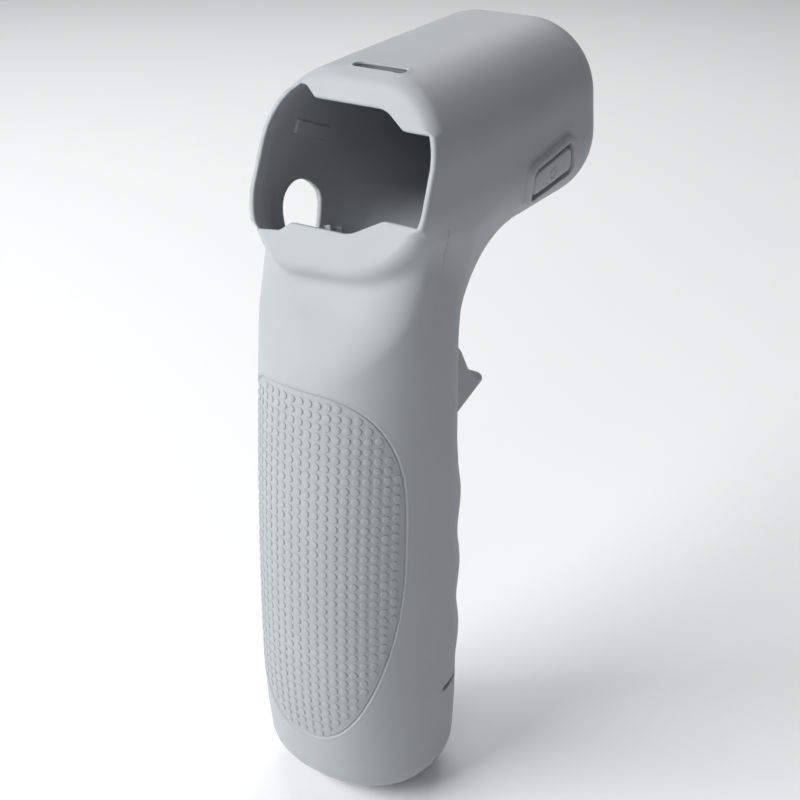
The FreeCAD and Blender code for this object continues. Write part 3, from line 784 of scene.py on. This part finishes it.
FACE_END = 23.0
NECK_LEVEL = -27.0
HEEL_LEVEL = -104.0
TRIGGER_BOX = ((-10.5, 13.0, -68.0), (10.5, 45.0, -33.0))
FACE_BOX = ((-24, -10, NECK_LEVEL), (24, FACE_END, 24))
BARREL_BOX = ((-26, FACE_END, NECK_LEVEL), (26, 66, 26))
KEY_BOX = ((13, 24, -16), (25, 53, 8))
HANDLE_BOX = ((-23, -20, HEEL_LEVEL), (23, 45, NECK_LEVEL))
BASE_BOX = ((-23, -20, -134), (23, 28, HEEL_LEVEL))
WIDE_STEP = 0.6
MEDIUM_STEP = 0.4
FACE_STEP = 0.33
KEY_STEP = 0.22


def outside_key_patch(p):
    along, across = key_coordinates(p)
    patch = np.maximum(np.abs(along) - KEY_REACH[0] + 0.4, np.abs(across) - KEY_REACH[1] + 0.4)
    patch = np.maximum(patch, 14.0 - p[:, 0])
    patch = np.maximum(patch, -closed_form(p) - 0.5 * WALL - 2.0)
    return -patch


def inside_key_patch(p):
    return -outside_key_patch(p)


def outside_trigger_box(p):
    return -box_values(p, *TRIGGER_BOX)


face_skin = skin_piece("face_skin", sleeve_field,
                       region(sleeve_field, *FACE_BOX, FACE_STEP), skin_silicone)
barrel_skin = skin_piece("barrel_skin", sleeve_field,
                         region(sleeve_field, *BARREL_BOX, WIDE_STEP, outside_key_patch), skin_silicone)
key_surround = skin_piece("key_surround", sleeve_field,
                          region(sleeve_field, *KEY_BOX, KEY_STEP, inside_key_patch), skin_silicone)
handle_skin = skin_piece("handle_skin", sleeve_field,
                         region(sleeve_field, *HANDLE_BOX, WIDE_STEP, outside_trigger_box, outside_panel),
                         skin_silicone)
trigger_skin = skin_piece("trigger_skin", sleeve_field,
                          region(sleeve_field, *TRIGGER_BOX, MEDIUM_STEP), skin_silicone)
base_skin = skin_piece("base_skin", sleeve_field,
                       region(sleeve_field, *BASE_BOX, MEDIUM_STEP, outside_panel), skin_silicone)


# ---------------------------------------------------------------- palm panel


def panel_form(p):
    """Outer surface sunk to the level of the panel."""
    return closed_form(p) + PANEL_SINK


def panel_edge_depth(offset):
    """Level of the surface across the panel's edge: a narrow groove, and the panel sunk inside it."""
    sunk = -PANEL_SINK * smooth_step(0.5 - offset / 0.3)
    return sunk - (PANEL_GROOVE - PANEL_SINK) * smooth_step(1.0 - abs(offset) / 0.32)


def panel_rim():
    """Strip along the panel's edge that carries the step, finer than the skin round it."""
    offsets = np.array([0.9, 0.5, 0.34, 0.26, 0.18, 0.1, 0.03, -0.03, -0.1, -0.18, -0.26, -0.34, -0.5, -0.9])
    rows = []
    for offset in offsets:
        line = settled(closed_form, panel_points + offset * panel_away, rounds=2)
        rows.append(line + unit(gradient(closed_form, line)) * panel_edge_depth(offset))
    count = len(panel_points)
    return np.concatenate(rows), strip_triangles(len(offsets), count)


def strip_triangles(rows, count):
    """Triangles of a band of closed rows of points."""
    triangles = []
    ring = np.arange(count)
    after = (ring + 1) % count
    for row in range(rows - 1):
        a, b = row * count + ring, row * count + after
        c, d = a + count, b + count
        triangles.append(np.stack([a, c, d], axis=1))
        triangles.append(np.stack([a, d, b], axis=1))
    return np.concatenate(triangles)


def joined(*meshes):
    """Several meshes as one."""
    start = 0
    vertices = []
    triangles = []
    for points, faces in meshes:
        vertices.append(points)
        triangles.append(faces + start)
        start += len(points)
    return np.concatenate(vertices), np.concatenate(triangles)


def panel_rim_normals(mesh):
    """Normals of the strip from its own faces, so that the step catches light."""
    vertices, triangles = mesh
    a, b, c = (vertices[triangles[:, i]] for i in range(3))
    face = np.cross(b - a, c - a)
    normals = np.zeros_like(vertices)
    for i in range(3):
        np.add.at(normals, triangles[:, i], face)
    return unit(normals)


def make_panel():
    field_mesh = region(panel_form, (-22, -24, -120), (22, 8, -34), 0.6, inside_panel)
    field_normals = unit(gradient(panel_form, field_mesh[0]))
    rim_mesh = panel_rim()
    rim_normals = panel_rim_normals(rim_mesh)
    outward = (rim_normals * unit(gradient(closed_form, rim_mesh[0]))).sum()
    if outward < 0.0:
        rim_mesh = (rim_mesh[0], rim_mesh[1][:, ::-1])
        rim_normals = -rim_normals
    panel = new_piece("palm_panel", joined(field_mesh, rim_mesh), grip_silicone,
                      np.concatenate([field_normals, rim_normals]))
    return panel


def dot_centres():
    """Centres of the dots: rows at one pitch, and one pitch apart along the surface across each row."""
    centres = []
    across = np.linspace(-19.0, 19.0, 400)
    for row in range(38):
        z = -(PANEL_TOP + 1.9 + row * DOT_PITCH)
        line = palm_points(across, np.full(400, z))
        length = np.concatenate([[0.0], np.cumsum(np.linalg.norm(np.diff(line, axis=0), axis=1))])
        length -= length[200] - 0.5 * (length[200] - length[199])
        for step in range(-15, 16):
            x = np.interp(step * DOT_PITCH, length, across)
            centres.append((x, z))
    centres = np.array(centres)
    points = settled(panel_form, palm_points(centres[:, 0], centres[:, 1]), rounds=5)
    keep = (np.abs(centres[:, 0]) < 18.5) & (panel_edge_distance(points) < -DOT_MARGIN)
    return points[keep]


def make_dots():
    """Low round dots with soft shoulders, each laid on the panel's surface."""
    profile = [(1.0, -0.3), (0.99, 0.35), (0.93, 0.65), (0.82, 0.85), (0.62, 0.95), (0.32, 1.0)]
    sides = 14
    centres = dot_centres()
    out = unit(gradient(panel_form, centres))
    upward = unit(np.array([0.0, 0.0, 1.0]) - out * out[:, 2:3])
    side = np.cross(upward, out)
    turn = np.linspace(0.0, 2.0 * np.pi, sides, endpoint=False)
    rings = []
    for share, height in profile:
        ring = centres[:, None, :] + DOT_RADIUS * share * (
            np.cos(turn)[None, :, None] * side[:, None, :] + np.sin(turn)[None, :, None] * upward[:, None, :])
        flat = settled(panel_form, ring.reshape(-1, 3), rounds=1)
        lifted = flat + np.repeat(out, sides, axis=0) * (height * DOT_HEIGHT)
        rings.append(lifted.reshape(len(centres), sides, 3))
    peak = (centres + out * DOT_HEIGHT)[:, None, :]
    vertices = np.concatenate([*rings, peak], axis=1)
    one = np.concatenate([strip_triangles(len(profile), sides), cap_triangles(len(profile), sides)])
    per_dot = vertices.shape[1]
    triangles = (one[None] + per_dot * np.arange(len(centres))[:, None, None]).reshape(-1, 3)
    mesh = (vertices.reshape(-1, 3), triangles)
    return new_piece("palm_dots", (mesh[0], facing_out(panel_form, *mesh)), grip_silicone)


def cap_triangles(rows, count):
    """Triangles that close the last ring of a band onto one point after it."""
    ring = (rows - 1) * count + np.arange(count)
    after = (rows - 1) * count + (np.arange(count) + 1) % count
    peak = np.full(count, rows * count)
    return np.stack([ring, peak, after], axis=1)


palm_panel = make_panel()
palm_dots = make_dots()

# ---------------------------------------------------------------- power key


def on_key(along, across, height):
    """Points at a height over the wall at the power key."""
    flat = key_centre + along[:, None] * key_along + across[:, None] * key_across
    return settled(closed_form, flat, rounds=2) + key_out * np.asarray(height).reshape(-1, 1)


def pad_distance(along, across):
    return rounded_rectangle(along, across, KEY_PAD_HALF[0], KEY_PAD_HALF[1], KEY_PAD_CORNER)


def mark_depth(along, across):
    """Groove of a generic power mark, upright on the sleeve: an open ring and a bar."""
    right = along * math.cos(KEY_TILT) - across * math.sin(KEY_TILT)
    up = across * math.cos(KEY_TILT) + along * math.sin(KEY_TILT)
    ring = np.abs(np.hypot(right, up) - KEY_MARK_RADIUS)
    gap = np.maximum(np.abs(right) - 0.55, -up)
    ring = np.maximum(ring, -gap)
    bar = np.hypot(right, np.maximum(np.abs(up - 0.95) - 0.6, 0.0))
    line = np.minimum(ring, bar)
    return KEY_MARK_DEPTH * smooth_step((KEY_MARK_LINE + 0.08 - line) / 0.16)


def make_key_pad():
    """Top of the power key with its engraved mark."""
    step = 0.1
    u = np.arange(-KEY_PAD_HALF[0] - step, KEY_PAD_HALF[0] + 1.5 * step, step)
    v = np.arange(-KEY_PAD_HALF[1] - step, KEY_PAD_HALF[1] + 1.5 * step, step)
    along, across = (side.reshape(-1) for side in np.meshgrid(u, v, indexing="ij"))
    plane = np.stack([along, across, np.zeros_like(along)], axis=1)
    mesh = clipped((plane, grid_triangles(len(u), len(v))), pad_distance(along, across))
    along, across = mesh[0][:, 0], mesh[0][:, 1]
    inset = np.clip(KEY_PAD_ROUNDING + pad_distance(along, across), 0.0, KEY_PAD_ROUNDING)
    shoulder = KEY_PAD_ROUNDING - np.sqrt(np.maximum(KEY_PAD_ROUNDING ** 2 - inset ** 2, 0.0))
    height = KEY_PAD_LIFT - shoulder - mark_depth(along, across)
    vertices = on_key(along, across, height)
    return new_piece("key_pad", (vertices, facing_out(closed_form, vertices, mesh[1])), skin_silicone)


def grid_triangles(rows, columns):
    """Triangles of a rectangular grid of points."""
    corner = (np.arange(rows - 1)[:, None] * columns + np.arange(columns - 1)).reshape(-1)
    lower = np.stack([corner, corner + columns, corner + columns + 1], axis=1)
    upper = np.stack([corner, corner + columns + 1, corner + 1], axis=1)
    return np.concatenate([lower, upper])


def make_key_skirt():
    """Soft side wall of the key, from the moat's floor up to its rounded shoulder."""
    a, b = KEY_PAD_HALF
    outline = rounded_outline([(-a, -b), (a, -b), (a, b), (-a, b)], [KEY_PAD_CORNER] * 4)
    levels = np.linspace(KEY_FLOOR - 0.05, KEY_PAD_LIFT - KEY_PAD_ROUNDING, 9)
    rows = [on_key(outline[:, 0], outline[:, 1], np.full(len(outline), level)) for level in levels]
    vertices = np.concatenate(rows)
    return new_piece("key_skirt", (vertices, strip_triangles(len(levels), len(outline))), skin_silicone)


def make_plunger():
    """Small nub behind the key that reaches the controller's own button."""
    sides = 24
    start = -WALL + 0.4
    tip = -WALL - PLUNGER_LENGTH
    profile = [(1.0, start), (1.0, tip + 0.5), (0.93, tip + 0.2), (0.8, tip + 0.05), (0.55, tip)]
    turn = np.linspace(0.0, 2.0 * np.pi, sides, endpoint=False)
    rows = []
    for share, level in profile:
        reach = PLUNGER_RADIUS * share
        circle = np.cos(turn)[:, None] * key_along + np.sin(turn)[:, None] * key_across
        rows.append(key_centre + reach * circle + key_out * level)
    vertices = np.concatenate([*rows, (key_centre + key_out * tip)[None]])
    triangles = np.concatenate([strip_triangles(len(profile), sides), cap_triangles(len(profile), sides)])
    return new_piece("key_plunger", (vertices, triangles), skin_silicone)


key_pad = make_key_pad()
key_skirt = make_key_skirt()
key_plunger = make_plunger()

# ---------------------------------------------------------------- bodies and CAD nodes

for piece in (face_skin, barrel_skin, key_surround, handle_skin, base_skin, palm_panel, palm_dots):
    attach(piece, "sleeve")
for piece in (key_pad, key_plunger):
    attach(piece, "power_key")
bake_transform(key_skirt)
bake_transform(trigger_skin)

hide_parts("face_lip_upper", "face_lip_lower", "light_slot_rim", "locating_pad",
            "locating_rib_rear", "locating_rib_front")
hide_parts("head_sleeve")
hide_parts("power_key_frame", "power_key_web")
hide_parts("handle_sleeve")
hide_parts("base_cup", "charge_port_lip")
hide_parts("grip_panel")
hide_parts("power_key")
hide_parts("power_key_plunger")
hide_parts("trigger_boot")

# ---------------------------------------------------------------- floor, light and camera

CAMERA_AZIMUTH = math.radians(36.1)
CAMERA_ELEVATION = math.radians(25.0)
CAMERA_PLACE = (0.152066, -0.214358, 0.201102)
CAMERA_LENS = 63.0
CAMERA_SENSOR = 36.0
WORLD_STRENGTH = 0.15

# name; right, up and back in the camera's terms; distance in metres, size in metres, watts
LIGHTS = [
    ("key_light", -0.80, 0.30, 0.55, 1.1, 0.7, 11.5),
    ("side_light", -0.93, 0.36, 0.10, 1.1, 0.6, 4.0),
    ("top_light", 0.0, 1.0, -0.2, 1.2, 0.9, 6.5),
    ("fill_light", -0.15, 0.05, 1.0, 1.2, 0.5, 1.6),
]


def camera_directions():
    """Unit vectors to the camera's right, up, and back from the object to the camera."""
    a, e = CAMERA_AZIMUTH, CAMERA_ELEVATION
    back = Vector((math.sin(a) * math.cos(e), -math.cos(a) * math.cos(e), math.sin(e)))
    right = Vector((math.cos(a), math.sin(a), 0.0))
    return right, back.cross(right), back


def make_camera():
    _, _, back = camera_directions()
    data = bpy.data.cameras.new("camera")
    data.sensor_width = CAMERA_SENSOR
    data.lens = CAMERA_LENS
    data.clip_start = 0.01
    camera = bpy.data.objects.new("camera", data)
    camera.location = CAMERA_PLACE
    camera.rotation_mode = "QUATERNION"
    camera.rotation_quaternion = (-back).to_track_quat("-Z", "Y")
    bpy.context.scene.collection.objects.link(camera)
    bpy.context.scene.camera = camera


def make_light(name, right, up, back, distance, size, power):
    """Square soft light in a direction given in the camera's terms, aimed at the sleeve."""
    target = Vector((0.0, 0.0, 0.08))
    r, u, b = camera_directions()
    direction = (r * right + u * up + b * back).normalized()
    data = bpy.data.lights.new(name, "AREA")
    data.shape = "SQUARE"
    data.size = size
    data.energy = power
    light = bpy.data.objects.new(name, data)
    light.location = target + direction * distance
    light.rotation_mode = "QUATERNION"
    light.rotation_quaternion = direction.to_track_quat("Z", "Y")
    bpy.context.scene.collection.objects.link(light)


def make_floor():
    """Wide pale floor with a very soft mottle."""
    half = 6.0
    data = bpy.data.meshes.new("floor")
    level = -0.0003
    corners = [(-half, -half, level), (half, -half, level), (half, half, level), (-half, half, level)]
    data.from_pydata(corners, [], [(0, 1, 2, 3)])
    material = bpy.data.materials.new("pale_floor")
    material.use_nodes = True
    nodes = material.node_tree.nodes
    links = material.node_tree.links
    shader = nodes["Principled BSDF"]
    shader.inputs["Roughness"].default_value = 0.7
    shader.inputs["Specular IOR Level"].default_value = 0.2
    place = nodes.new("ShaderNodeTexCoord")
    mottle = noise(nodes, links, place, 6.0, 2.0)
    tint = nodes.new("ShaderNodeValToRGB")
    tint.color_ramp.elements[0].color = (0.90, 0.905, 0.91, 1.0)
    tint.color_ramp.elements[1].color = (0.93, 0.932, 0.935, 1.0)
    links.new(mottle.outputs["Fac"], tint.inputs["Fac"])
    links.new(tint.outputs["Color"], shader.inputs["Base Color"])
    data.materials.append(material)
    floor = bpy.data.objects.new("floor", data)
    bpy.context.scene.collection.objects.link(floor)


def make_world():
    world = bpy.data.worlds.new("studio")
    world.use_nodes = True
    background = world.node_tree.nodes["Background"]
    background.inputs["Color"].default_value = (0.97, 0.98, 1.0, 1.0)
    background.inputs["Strength"].default_value = WORLD_STRENGTH
    bpy.context.scene.world = world


make_world()
make_floor()
for light in LIGHTS:
    make_light(*light)
make_camera()
bpy.context.scene.view_settings.view_transform = "Standard"
